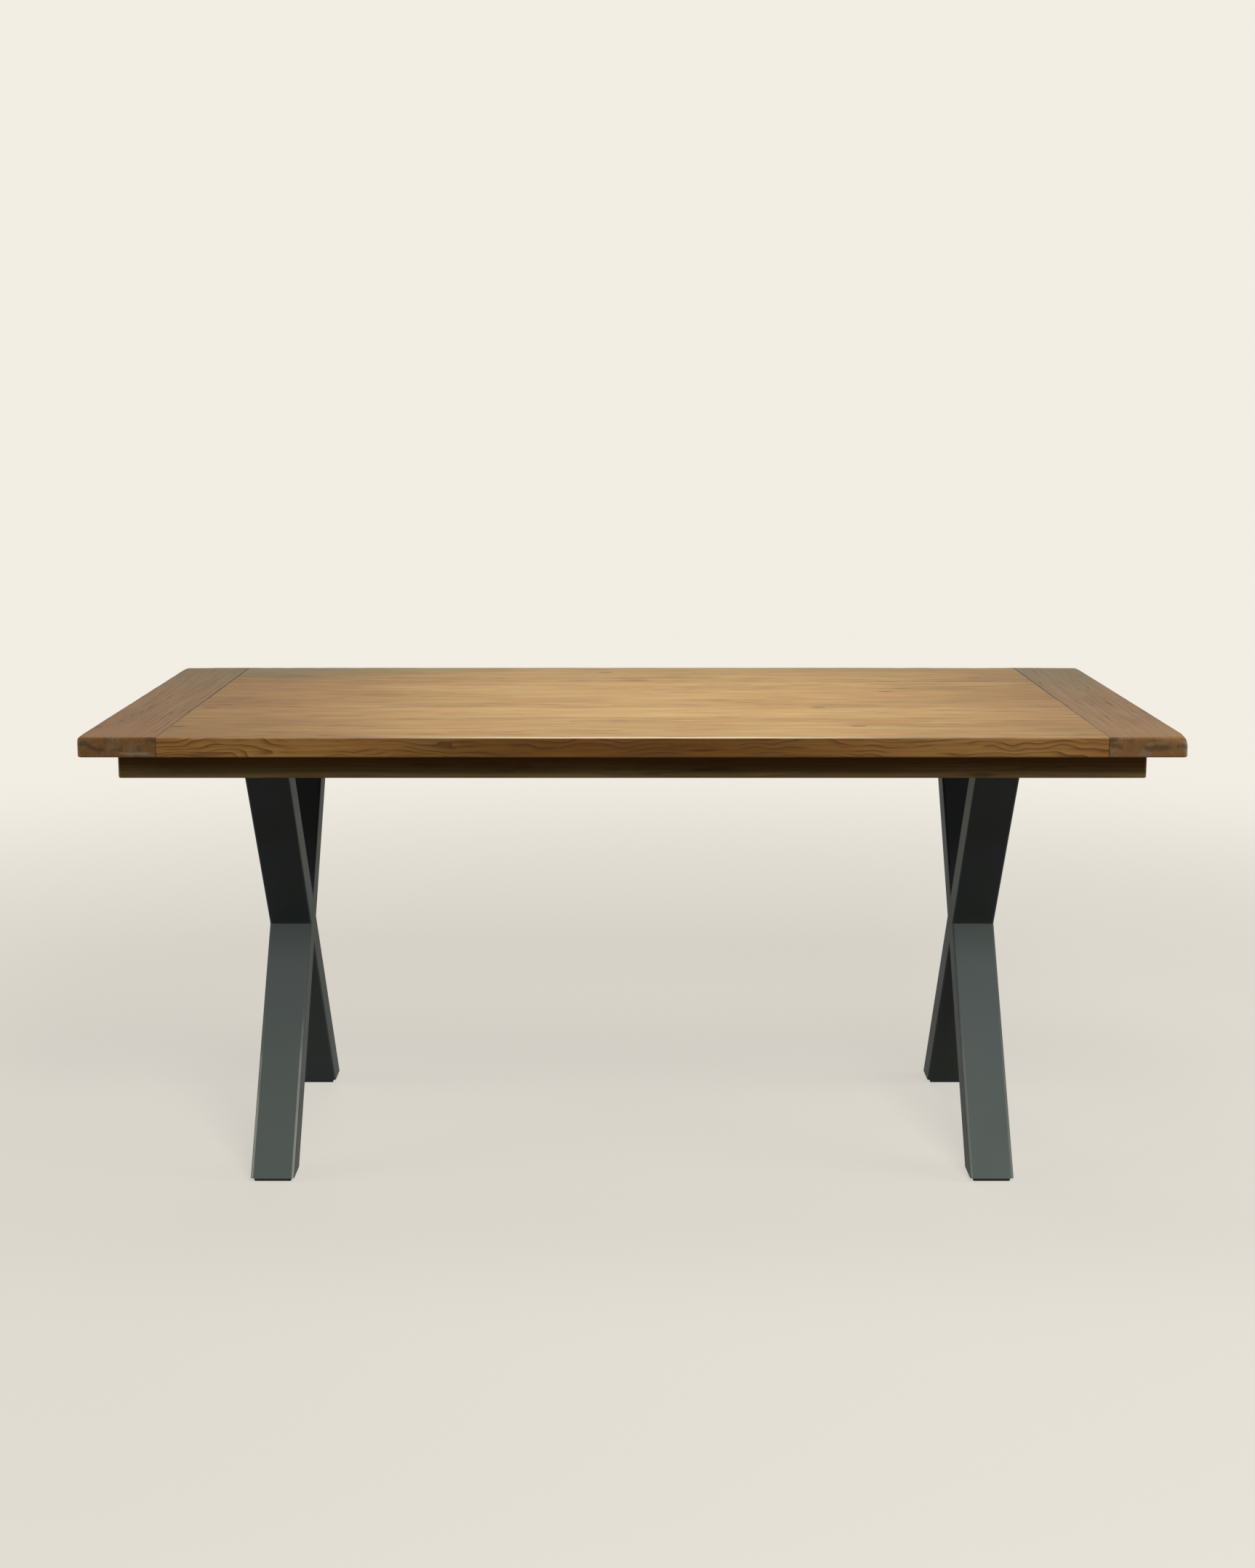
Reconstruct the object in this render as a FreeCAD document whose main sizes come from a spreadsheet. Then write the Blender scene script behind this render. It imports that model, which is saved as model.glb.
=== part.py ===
import FreeCAD, Part
import math
import os

import Sketcher

# Sawbuck table: a solid-wood top with breadboard ends and a recessed apron, on two steel X trestles.
# The origin lies on the floor under the middle of the top, +X runs along the top and +Y to the back.

# Driving sizes in millimetres
SIZES = {
    # Top
    "top_length": 1800.0,
    "top_width": 950.0,
    "top_thickness": 33.0,
    "table_height": 805.0,
    "top_edge_round": 3.5,
    "under_edge_bevel": 1.5,
    "top_corner_round": 8.0,
    # Breadboard joint
    "breadboard_width": 128.0,
    "breadboard_seam": 0.8,
    "tongue_length": 28.0,
    "tongue_thickness": 11.0,
    "tongue_stop": 24.0,
    "groove_spare": 3.0,
    "peg_side": 8.0,
    "peg_skin": 5.0,
    "peg_play": 2.0,
    # Loose tongues between the boards
    "spline_thickness": 6.0,
    "spline_depth": 12.0,
    "spline_stop": 40.0,
    # Apron
    "apron_overhang": 54.0,
    "rail_height": 43.0,
    "rail_thickness": 25.0,
    "rail_corner_round": 4.0,
    "rail_edge_round": 3.0,
    "tenon_length": 12.0,
    "tenon_thickness": 9.0,
    "tenon_shoulder": 8.0,
    "cross_rail_height": 36.0,
    "glue_block_leg": 50.0,
    "glue_block_height": 34.0,
    # Buttons that hold the top down on the apron
    "button_width": 36.0,
    "button_length": 34.0,
    "button_height": 18.0,
    "button_lip": 7.0,
    "button_lip_reach": 10.0,
    "button_edge_bevel": 3.0,
    "screw_radius": 2.2,
    "screw_head_radius": 4.6,
    "screw_head_height": 2.8,
    "screw_skin": 1.5,
    # Trestles
    "trestle_setback": 274.0,
    "leg_width": 76.0,
    "leg_depth": 54.0,
    "leg_wall": 2.5,
    "leg_round": 4.0,
    "leg_inset": 71.0,
    "crossing_lift": 7.0,
    "plate_thickness": 6.0,
    "plate_gap": 11.0,
    "plate_corner_round": 10.0,
    "bolt_radius": 4.0,
    "bolt_head_radius": 7.5,
    "bolt_head_height": 5.3,
    "bolt_play": 0.8,
    "wrench_gap": 4.0,
    "insert_radius": 6.0,
    "insert_length": 18.0,
    # Feet
    "pad_height": 7.0,
    "pad_inset": 6.0,
    "pad_bevel": 1.5,
    "plug_height": 26.0,
    # Fits and cuts
    "fit_clearance": 0.15,
    "cut_overrun": 5.0,
}
BOARD_COUNT = 8
BOLT_HEAD_SIDES = 6
INSERT_SIDES = 8
# Place of a button between the cross rail and a trestle plate
BUTTON_SHARE = 0.5
# Largest distance at which an edge still counts as lying on a face
TOUCH = 0.001

doc = FreeCAD.newDocument("sawbuck_table")
sheet = doc.addObject("Spreadsheet::Sheet", "Sizes")
for row, (alias, number) in enumerate(SIZES.items(), start=1):
    sheet.set(f"A{row}", alias)
    sheet.set(f"B{row}", str(number))
    sheet.setAlias(f"B{row}", alias)
doc.recompute()


class Size:
    """A length of the sheet, or one worked out from such lengths, as a formula and as a number."""

    def __init__(self, formula, number):
        self.formula = formula
        self.number = number

    def __add__(self, other):
        other = as_size(other)
        return Size(f"({self.formula} + {other.formula})", self.number + other.number)

    def __sub__(self, other):
        other = as_size(other)
        return Size(f"({self.formula} - {other.formula})", self.number - other.number)

    def __mul__(self, other):
        other = as_size(other)
        return Size(f"({self.formula} * {other.formula})", self.number * other.number)

    def __truediv__(self, other):
        other = as_size(other)
        return Size(f"({self.formula} / {other.formula})", self.number / other.number)

    def __neg__(self):
        return Size(f"(0 - {self.formula})", -self.number)


def as_size(value):
    """A plain number as a Size."""
    return value if isinstance(value, Size) else Size(str(float(value)), float(value))


def length(alias):
    """A driving size by its name on the sheet."""
    return Size(f"Sizes.{alias}", sheet.get(alias))


# Lengths and places that follow from the driving sizes
overrun = length("cut_overrun")
clearance = length("fit_clearance")
half_length = length("top_length") / 2
half_width = length("top_width") / 2
thickness = length("top_thickness")
underside = length("table_height") - thickness
board_width = length("top_width") / BOARD_COUNT
half_board = board_width / 2
joint_line = half_length - length("breadboard_width")
shoulder = joint_line - length("breadboard_seam")
tongue_end = joint_line + length("tongue_length")
tongue_low = (thickness - length("tongue_thickness")) / 2
tongue_high = (thickness + length("tongue_thickness")) / 2
peg_x = joint_line + length("tongue_length") / 2
peg_length = thickness - length("peg_skin")
half_peg = length("peg_side") / 2
rail_end = half_length - length("apron_overhang")
rail_face = half_width - length("apron_overhang")
rail_inside = rail_face - length("rail_thickness")
end_rail_inside = rail_end - length("rail_thickness")
cross_half = length("rail_thickness") / 2
trestle_x = half_length - length("trestle_setback")
bolt_reach = length("leg_width") / 2 + length("bolt_head_radius") + length("wrench_gap")
plate_half_width = bolt_reach + length("bolt_head_radius") + length("wrench_gap")
plate_half_length = rail_inside - length("plate_gap")
leg_top = underside - length("plate_thickness")
leg_bottom = length("pad_height")


def board_middle(index):
    """Distance of a board's middle from the middle of the top."""
    return board_width * index + half_board - half_width


def boards_to_edge(index):
    """How many boards lie between a board and the nearer long edge of the top."""
    return min(index, BOARD_COUNT - 1 - index)


# Every other board from the long edges is pegged, and the one next to the edge takes a plate's bolts
PEGGED_BOARDS = [index for index in range(BOARD_COUNT) if boards_to_edge(index) % 2 == 0]
BOLTED_BOARDS = [index for index in range(BOARD_COUNT) if boards_to_edge(index) == 1]


def arc_cosine(ratio):
    return Size(f"acos({ratio.formula})", math.degrees(math.acos(ratio.number)))


def arc_tangent(ratio):
    return Size(f"atan({ratio.formula})", math.degrees(math.atan(ratio.number)))


def tangent(angle):
    return Size(f"tan({angle.formula})", math.tan(math.radians(angle.number)))


def cosine(angle):
    return Size(f"cos({angle.formula})", math.cos(math.radians(angle.number)))


def square_root(area):
    return Size(f"sqrt({area.formula})", math.sqrt(area.number))


# The legs cross a little above the middle of their height
# They lean so that the outer corners of the feet stand one inset inside the apron
crossing = (leg_top + leg_bottom) / 2 + length("crossing_lift")
foot_rise = crossing - leg_bottom
head_rise = leg_top - crossing
foot_edge = rail_inside - length("leg_inset")
diagonal = square_root(foot_rise * foot_rise + foot_edge * foot_edge)
lean = arc_cosine(length("leg_depth") / 2 / diagonal) - arc_tangent(foot_rise / foot_edge)
slope = tangent(lean)
level_depth = length("leg_depth") / cosine(lean)
level_wall = length("leg_wall") / cosine(lean)
foot_middle = foot_edge - level_depth / 2
head_middle = slope * head_rise


def new_body(label):
    """An empty body with its node's name."""
    body = doc.addObject("PartDesign::Body", label)
    body.Label = label
    return body


def place(item, x=0, y=0, z=0):
    """Put an object where the sizes say."""
    for axis, size in zip("xyz", (x, y, z)):
        item.setExpression(f"Placement.Base.{axis}", as_size(size).formula)
    return item


def turn_about(item):
    """Turn an object half round the upright axis, from the right or front to the left or back."""
    item.Placement.Rotation = FreeCAD.Rotation(FreeCAD.Vector(0, 0, 1), 180)
    return item


def new_sketch(body, role, lift=0):
    """A sketch on one of the body's own planes, or at a distance in front of it."""
    sketch = body.newObject("Sketcher::SketchObject", "Sketch")
    plane = next(item for item in body.Origin.OriginFeatures if item.Role == role)
    sketch.AttachmentSupport = [(plane, "")]
    sketch.MapMode = "FlatFace"
    sketch.setExpression("AttachmentOffset.Base.z", as_size(lift).formula)
    return sketch


def hold_point(sketch, curve, point, x, y):
    """Tie a point of a curve to its two distances from the sketch's origin."""
    for kind, size in (("DistanceX", as_size(x)), ("DistanceY", as_size(y))):
        rule = Sketcher.Constraint(kind, -1, 1, curve, point, size.number)
        sketch.setExpression(f"Constraints[{sketch.addConstraint(rule)}]", size.formula)


def draw_outline(sketch, corners):
    """A closed outline of straight lines."""
    points = [FreeCAD.Vector(as_size(x).number, as_size(y).number, 0) for x, y in corners]
    ends = points[1:] + points[:1]
    lines = [sketch.addGeometry(Part.LineSegment(start, end)) for start, end in zip(points, ends)]
    for line, following in zip(lines, lines[1:] + lines[:1]):
        sketch.addConstraint(Sketcher.Constraint("Coincident", line, 2, following, 1))
    for line, (x, y) in zip(lines, corners):
        hold_point(sketch, line, 1, x, y)


def draw_rectangle(sketch, left, right, low, high):
    draw_outline(sketch, [(left, low), (right, low), (right, high), (left, high)])


def draw_circle(sketch, x, y, radius):
    centre = FreeCAD.Vector(as_size(x).number, as_size(y).number, 0)
    circle = sketch.addGeometry(Part.Circle(centre, FreeCAD.Vector(0, 0, 1), radius.number))
    index = sketch.addConstraint(Sketcher.Constraint("Radius", circle, radius.number))
    sketch.setExpression(f"Constraints[{index}]", radius.formula)
    hold_point(sketch, circle, 3, x, y)


def pad(body, sketch, size, both_ways=False, backwards=False):
    """Thicken a sketch into the body."""
    feature = body.newObject("PartDesign::Pad", "Pad")
    feature.Profile = sketch
    feature.SideType = "Symmetric" if both_ways else "One side"
    feature.Reversed = backwards
    feature.setExpression("Length", size.formula)
    return feature


def pocket(body, sketch, size, both_ways=False, backwards=False):
    """Cut a sketch out of the body."""
    feature = body.newObject("PartDesign::Pocket", "Pocket")
    feature.Profile = sketch
    feature.SideType = "Symmetric" if both_ways else "One side"
    feature.Reversed = backwards
    feature.setExpression("Length", size.formula)
    return feature


def dress_edges(body, kind, measure, size, chosen):
    """Work the edges of the body's last feature that the test picks."""
    doc.recompute()
    base = body.Tip
    names = [f"Edge{number}" for number, edge in enumerate(base.Shape.Edges, start=1) if chosen(edge)]
    feature = body.newObject(f"PartDesign::{kind}", kind)
    feature.Base = (base, names)
    feature.setExpression(measure, size.formula)


def round_edges(body, radius, chosen):
    dress_edges(body, "Fillet", "Radius", radius, chosen)


def bevel_edges(body, size, chosen):
    dress_edges(body, "Chamfer", "Size", size, chosen)


def lies_at(edge, **places):
    """Whether a whole edge lies at the given places along x, y or z."""
    return all(
        abs(getattr(vertex.Point, axis) - as_size(size).number) < TOUCH
        for vertex in edge.Vertexes
        for axis, size in places.items()
    )


def upright(edge):
    """Whether an edge rises."""
    return edge.BoundBox.ZLength > TOUCH


def group(label, items):
    """Like solids that share one node."""
    compound = doc.addObject("Part::Compound", label)
    compound.Label = label
    compound.Links = items
    return compound


def box(along, across, height):
    item = doc.addObject("Part::Box", "Box")
    for measure, size in (("Length", along), ("Width", across), ("Height", height)):
        item.setExpression(measure, size.formula)
    return item


def cylinder(radius, height):
    item = doc.addObject("Part::Cylinder", "Cylinder")
    item.setExpression("Radius", radius.formula)
    item.setExpression("Height", height.formula)
    return item


def prism(sides, radius, height):
    item = doc.addObject("Part::Prism", "Prism")
    item.Polygon = sides
    item.setExpression("Circumradius", radius.formula)
    item.setExpression("Height", height.formula)
    return item


def fuse(items):
    """Several solids welded or turned in one piece."""
    item = doc.addObject("Part::MultiFuse", "Fuse")
    item.Shapes = items
    return item


def cut(label, base, tool):
    """One solid with another taken away."""
    item = doc.addObject("Part::Cut", label)
    item.Label = label
    item.Base = base
    item.Tool = tool
    return item


# Fasteners that enter the top from below, as places on the table
spline_low = (thickness - length("spline_thickness")) / 2
spline_high = (thickness + length("spline_thickness")) / 2
screw_depth = spline_low - length("screw_skin")
button_middle = rail_inside - length("button_length") / 2
button_span = trestle_x - plate_half_width - cross_half
button_xs = [(cross_half + button_span * BUTTON_SHARE) * side for side in (-1, 1)]
button_places = [(x, button_middle * side) for side in (-1, 1) for x in button_xs]
bolt_offsets = [(bolt_reach * side, board_middle(index)) for side in (-1, 1) for index in BOLTED_BOARDS]
bolt_places = [(trestle_x * side + x, y) for side in (-1, 1) for x, y in bolt_offsets]


def drill_from_below(body, places, radius, depth):
    """Upright round holes from the body's underside."""
    if places:
        sketch = new_sketch(body, "XY_Plane")
        for x, y in places:
            draw_circle(sketch, x, y, radius)
        pocket(body, sketch, depth, backwards=True)


def places_on_board(places, radius, middle):
    """The places that fall on one board, seen from its middle."""
    reach = half_board.number + radius.number
    return [(x, y - middle) for x, y in places if abs(y.number - middle.number) < reach]


def make_board(index):
    """A board of the top, tongued at both ends and grooved along its glued edges."""
    body = new_body(f"top_board_{index + 1}")
    middle = board_middle(index)
    profile = new_sketch(body, "XZ_Plane")
    right_half = [
        (shoulder, 0),
        (shoulder, tongue_low),
        (tongue_end, tongue_low),
        (tongue_end, tongue_high),
        (shoulder, tongue_high),
        (shoulder, thickness),
    ]
    draw_outline(profile, right_half + [(-x, z) for x, z in reversed(right_half)])
    pad(body, profile, board_width, both_ways=True)
    grooves = new_sketch(body, "YZ_Plane")
    for side, neighbour in ((-1, index - 1), (1, index + 1)):
        if 0 <= neighbour < BOARD_COUNT:
            inner = (half_board - length("spline_depth") - clearance) * side
            outer = (half_board + overrun) * side
            draw_rectangle(grooves, inner, outer, spline_low - clearance, spline_high + clearance)
        else:
            free_side = side
    pocket(body, grooves, (shoulder - length("spline_stop") + clearance) * 2, both_ways=True)
    if index in PEGGED_BOARDS:
        slots = new_sketch(body, "XY_Plane")
        half_slot = half_peg + length("peg_play")
        for side in (-1, 1):
            slot_middle = peg_x * side
            draw_rectangle(slots, slot_middle - half_peg, slot_middle + half_peg, -half_slot, half_slot)
        pocket(body, slots, thickness, backwards=True)
    inserts = places_on_board(bolt_places, length("insert_radius"), middle)
    drill_from_below(body, inserts, length("insert_radius") + clearance, length("insert_length") + clearance)
    screws = places_on_board(button_places, length("screw_radius"), middle)
    drill_from_below(body, screws, length("screw_radius") + clearance, screw_depth + clearance)
    if index in (0, BOARD_COUNT - 1):
        stops = new_sketch(body, "XY_Plane")
        inner = (half_board - length("tongue_stop") - length("groove_spare")) * free_side
        for end in (-1, 1):
            outer = (half_board + overrun) * free_side
            draw_rectangle(stops, shoulder * end, (tongue_end + overrun) * end, inner, outer)
        pocket(body, stops, thickness, backwards=True)
        free_edge = half_board * free_side
        round_edges(body, length("top_edge_round"), lambda edge: lies_at(edge, y=free_edge, z=thickness))
        bevel_edges(body, length("under_edge_bevel"), lambda edge: lies_at(edge, y=free_edge, z=0))
    return place(body, 0, middle, underside)


def make_splines():
    """Loose tongues that line up and strengthen the glued joints between the boards."""
    splines = []
    half_run = shoulder - length("spline_stop")
    for index in range(1, BOARD_COUNT):
        spline = box(half_run * 2, length("spline_depth") * 2, length("spline_thickness"))
        seam = board_width * index - half_width
        splines.append(place(spline, -half_run, seam - length("spline_depth"), underside + spline_low))
    return group("board_splines", splines)


def on_free_side(edge):
    """Whether an edge of a breadboard end belongs to its outline, away from the joint and the pegs."""
    return max(vertex.X for vertex in edge.Vertexes) > tongue_end.number


def make_breadboard(label, left):
    """A breadboard end with a stopped groove, rounded along its three free edges."""
    body = new_body(label)
    plan = new_sketch(body, "XY_Plane")
    draw_rectangle(plan, joint_line, half_length, -half_width, half_width)
    pad(body, plan, thickness)
    groove = new_sketch(body, "YZ_Plane", joint_line)
    reach = half_width - length("tongue_stop")
    draw_rectangle(groove, -reach, reach, tongue_low - clearance, tongue_high + clearance)
    pocket(body, groove, length("tongue_length") + length("groove_spare"), backwards=True)
    mortises = new_sketch(body, "XY_Plane")
    for index in PEGGED_BOARDS:
        middle = board_middle(index)
        half = half_peg + clearance
        draw_rectangle(mortises, peg_x - half, peg_x + half, middle - half, middle + half)
    pocket(body, mortises, peg_length + clearance, backwards=True)
    corner_round = length("top_corner_round")
    edge_round = length("top_edge_round")
    round_edges(body, corner_round, lambda edge: lies_at(edge, x=half_length) and upright(edge))
    round_edges(body, edge_round, lambda edge: lies_at(edge, z=thickness) and on_free_side(edge))
    bevel_edges(body, length("under_edge_bevel"), lambda edge: lies_at(edge, z=0) and on_free_side(edge))
    place(body, 0, 0, underside)
    return turn_about(body) if left else body


def make_pegs(label, side):
    """Square pegs driven from below through the tongues, so that none shows on the top."""
    pegs = []
    for index in PEGGED_BOARDS:
        peg = box(length("peg_side"), length("peg_side"), peg_length)
        pegs.append(place(peg, peg_x * side - half_peg, board_middle(index) - half_peg, underside))
    return group(label, pegs)


# Joints of the apron, as heights below the underside of the top
tenon_half = length("tenon_thickness") / 2
end_rail_middle = end_rail_inside + length("rail_thickness") / 2
tenon_top = -length("tenon_shoulder")
rail_tenon_low = length("tenon_shoulder") - length("rail_height")
cross_tenon_low = length("tenon_shoulder") - length("cross_rail_height")
lip_top = (length("button_lip") - length("button_height")) / 2
lip_low = lip_top - length("button_lip")


def make_long_rail(label, back):
    """A long apron rail, mortised for the end rails and the cross rail and slotted for the buttons."""
    body = new_body(label)
    plan = new_sketch(body, "XY_Plane")
    draw_rectangle(plan, -rail_end, rail_end, -rail_face, -rail_inside)
    pad(body, plan, length("rail_height"), backwards=True)
    mortises = new_sketch(body, "XZ_Plane", rail_inside)
    ends = [(end_rail_middle * side, rail_tenon_low) for side in (-1, 1)]
    for x, low in ends + [(as_size(0), cross_tenon_low)]:
        half = tenon_half + clearance
        draw_rectangle(mortises, x - half, x + half, low - clearance, tenon_top + clearance)
    pocket(body, mortises, length("tenon_length") + clearance, backwards=True)
    slots = new_sketch(body, "XZ_Plane", rail_inside)
    for x in button_xs:
        half = length("button_width") / 2 + clearance
        draw_rectangle(slots, x - half, x + half, lip_low - clearance, lip_top)
    pocket(body, slots, length("button_lip_reach") + clearance, backwards=True)
    corner_round = length("rail_corner_round")
    edge_round = length("rail_edge_round")
    low = -length("rail_height")
    round_edges(body, corner_round, lambda edge: lies_at(edge, y=-rail_face) and upright(edge))
    round_edges(body, edge_round, lambda edge: lies_at(edge, z=low) and not lies_at(edge, y=-rail_inside))
    place(body, 0, 0, underside)
    return turn_about(body) if back else body


def add_tenons(body, middle, low):
    """One long tongue through the body that ends as a stub tenon in each long rail."""
    tenons = new_sketch(body, "XZ_Plane")
    draw_rectangle(tenons, middle - tenon_half, middle + tenon_half, low, tenon_top)
    pad(body, tenons, (rail_inside + length("tenon_length")) * 2, both_ways=True)


def make_end_rail(label, left):
    """An end rail of the apron, tenoned between the long rails."""
    body = new_body(label)
    plan = new_sketch(body, "XY_Plane")
    draw_rectangle(plan, end_rail_inside, rail_end, -rail_inside, rail_inside)
    pad(body, plan, length("rail_height"), backwards=True)
    add_tenons(body, end_rail_middle, rail_tenon_low)
    low = -length("rail_height")
    round_edges(body, length("rail_edge_round"), lambda edge: lies_at(edge, x=rail_end, z=low))
    place(body, 0, 0, underside)
    return turn_about(body) if left else body


def make_cross_rail():
    """The rail that keeps the long rails straight halfway along the table."""
    body = new_body("apron_cross_rail")
    plan = new_sketch(body, "XY_Plane")
    draw_rectangle(plan, -cross_half, cross_half, -rail_inside, rail_inside)
    pad(body, plan, length("cross_rail_height"), backwards=True)
    add_tenons(body, as_size(0), cross_tenon_low)
    return place(body, 0, 0, underside)


def make_glue_block(label, side, way):
    """A triangular block glued into a corner of the apron."""
    body = new_body(label)
    plan = new_sketch(body, "XY_Plane")
    leg = length("glue_block_leg")
    corners = [
        (end_rail_inside * side, rail_inside * way),
        ((end_rail_inside - leg) * side, rail_inside * way),
        (end_rail_inside * side, (rail_inside - leg) * way),
    ]
    draw_outline(plan, corners)
    pad(body, plan, length("glue_block_height"), backwards=True)
    return place(body, 0, 0, underside)


def make_button(x, way):
    """A wooden button: a screwed block whose lip hooks into a slot of the long rail."""
    body = new_body("button")
    profile = new_sketch(body, "YZ_Plane")
    inner = rail_inside - length("button_length")
    lip_end = rail_inside + length("button_lip_reach")
    height = length("button_height")
    corners = [
        (rail_inside, 0),
        (rail_inside, lip_top),
        (lip_end, lip_top),
        (lip_end, lip_low),
        (rail_inside, lip_low),
        (rail_inside, -height),
        (inner, -height),
        (inner, 0),
    ]
    draw_outline(profile, [(y * way, z) for y, z in corners])
    pad(body, profile, length("button_width"), both_ways=True)
    hole = new_sketch(body, "XY_Plane")
    draw_circle(hole, 0, button_middle * way, length("screw_radius") + clearance)
    pocket(body, hole, height)
    bevel_edges(body, length("button_edge_bevel"), lambda edge: lies_at(edge, y=inner * way, z=-height))
    return place(body, x, 0, underside)


def make_button_screw(x, y):
    """A pan-head screw up through a button into the top."""
    seat = underside - length("button_height")
    head = cylinder(length("screw_head_radius"), length("screw_head_height"))
    place(head, x, y, seat - length("screw_head_height"))
    shank = cylinder(length("screw_radius"), length("button_height") + screw_depth)
    return fuse([head, place(shank, x, y, seat)])


def leg_bar(label, outline, way):
    """A solid bar of a leg's outer form; way is 1 where it leans to the back as it rises, else -1."""
    body = new_body(label)
    profile = new_sketch(body, "YZ_Plane")
    draw_outline(profile, outline)
    pad(body, profile, length("leg_width"), both_ways=True)

    def runs_along_leg(edge):
        start, end = (vertex.Point for vertex in edge.Vertexes)
        return (end.y - start.y) * (end.z - start.z) * way > TOUCH

    round_edges(body, length("leg_round"), runs_along_leg)
    return body


def hollow_leg(body, way):
    """Take the bore of the tube out of a leg's bar, from end to end."""
    half = level_depth / 2 - level_wall
    drop = foot_rise + overrun
    rise = head_rise + overrun
    low_shift = slope * drop * way
    high_shift = slope * rise * way
    bore = new_sketch(body, "YZ_Plane")
    corners = [
        (-half - low_shift, crossing - drop),
        (half - low_shift, crossing - drop),
        (half + high_shift, crossing + rise),
        (high_shift - half, crossing + rise),
    ]
    draw_outline(bore, corners)
    pocket(body, bore, length("leg_width") - length("leg_wall") * 2, both_ways=True)


def make_trestle(name, side):
    """One X trestle: a through leg, two half legs coped onto it and a plate, with bolts and inserts."""
    x = trestle_x * side
    half = level_depth / 2
    through_outline = [
        (-foot_middle - half, leg_bottom),
        (half - foot_middle, leg_bottom),
        (head_middle + half, leg_top),
        (head_middle - half, leg_top),
    ]
    quarter = level_depth / 4
    cope_rise = quarter / slope
    upper_outline = [
        (-head_middle - half, leg_top),
        (half - head_middle, leg_top),
        (quarter, crossing + cope_rise),
        (-quarter, crossing - cope_rise),
    ]
    lower_outline = [
        (foot_middle - half, leg_bottom),
        (foot_middle + half, leg_bottom),
        (quarter, crossing + cope_rise),
        (-quarter, crossing - cope_rise),
    ]
    through_leg = leg_bar(f"{name}_through_leg", through_outline, 1)
    hollow_leg(through_leg, 1)
    place(through_leg, x)
    cope = place(leg_bar("cope", through_outline, 1), x)
    pieces = [through_leg]
    for half_name, outline in (("upper", upper_outline), ("lower", lower_outline)):
        bar = leg_bar("half_leg", outline, -1)
        hollow_leg(bar, -1)
        pieces.append(cut(f"{name}_{half_name}_half_leg", place(bar, x), cope))
    return pieces + [make_plate(name, x), make_bolts(name, x), make_inserts(name, x)]


def make_plate(name, x):
    """The steel plate that the legs are welded to, with wide holes that let the wood move."""
    body = new_body(f"{name}_top_plate")
    plan = new_sketch(body, "XY_Plane", leg_top)
    draw_rectangle(plan, -plate_half_width, plate_half_width, -plate_half_length, plate_half_length)
    pad(body, plan, length("plate_thickness"))
    holes = new_sketch(body, "XY_Plane", leg_top)
    for offset, y in bolt_offsets:
        draw_circle(holes, offset, y, length("bolt_radius") + length("bolt_play"))
    pocket(body, holes, length("plate_thickness"), backwards=True)
    for end in (plate_half_length, -plate_half_length):
        round_edges(body, length("plate_corner_round"), lambda edge: lies_at(edge, y=end) and upright(edge))
    return place(body, x)


def make_bolts(name, x):
    """Hexagon bolts up through the plate."""
    bolts = []
    for offset, y in bolt_offsets:
        head = prism(BOLT_HEAD_SIDES, length("bolt_head_radius"), length("bolt_head_height"))
        place(head, x + offset, y, leg_top - length("bolt_head_height"))
        shank = cylinder(length("bolt_radius"), length("plate_thickness") + length("insert_length"))
        bolts.append(fuse([head, place(shank, x + offset, y, leg_top)]))
    return group(f"{name}_bolts", bolts)


def make_inserts(name, x):
    """Threaded sleeves in the boards that take the bolts, eight-sided so that they can't turn."""
    inserts = []
    for offset, y in bolt_offsets:
        sleeve = prism(INSERT_SIDES, length("insert_radius"), length("insert_length"))
        bore = cylinder(length("bolt_radius") + clearance, length("insert_length"))
        places = [place(item, x + offset, y, underside) for item in (sleeve, bore)]
        inserts.append(cut("insert", places[0], places[1]))
    return group(f"{name}_inserts", inserts)


def make_foot(label, side, way):
    """A plastic foot: a plug inside the tube and a pad under it; way is 1 at the front, -1 at the back."""
    body = new_body(label)
    plug = new_sketch(body, "YZ_Plane")
    play = clearance / cosine(lean)
    half = level_depth / 2 - level_wall - play
    rise = length("plug_height")
    shift = slope * rise
    corners = [
        (-foot_middle - half, leg_bottom),
        (half - foot_middle, leg_bottom),
        (half - foot_middle + shift, leg_bottom + rise),
        (shift - foot_middle - half, leg_bottom + rise),
    ]
    draw_outline(plug, [(y * way, z) for y, z in corners])
    pad(body, plug, length("leg_width") - (length("leg_wall") + clearance) * 2, both_ways=True)
    sole = new_sketch(body, "XY_Plane")
    half_across = length("leg_width") / 2 - length("pad_inset")
    half_along = level_depth / 2 - length("pad_inset")
    middle = foot_middle * -way
    draw_rectangle(sole, -half_across, half_across, middle - half_along, middle + half_along)
    pad(body, sole, length("pad_height"))
    bevel_edges(body, length("pad_bevel"), lambda edge: lies_at(edge, z=0))
    return place(body, trestle_x * side)


# The table, put together from the top down
nodes = [make_board(index) for index in range(BOARD_COUNT)]
nodes.append(make_splines())
for name, side in (("left", -1), ("right", 1)):
    nodes.append(make_breadboard(f"breadboard_{name}", left=side < 0))
    nodes.append(make_pegs(f"breadboard_pegs_{name}", side))
    nodes.append(make_end_rail(f"apron_rail_{name}", left=side < 0))
    nodes.append(make_glue_block(f"glue_block_front_{name}", side, -1))
    nodes.append(make_glue_block(f"glue_block_back_{name}", side, 1))
    nodes.extend(make_trestle(f"trestle_{name}", side))
    nodes.append(make_foot(f"foot_front_{name}", side, 1))
    nodes.append(make_foot(f"foot_back_{name}", side, -1))
nodes.append(make_long_rail("apron_rail_front", back=False))
nodes.append(make_long_rail("apron_rail_back", back=True))
nodes.append(make_cross_rail())
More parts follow.
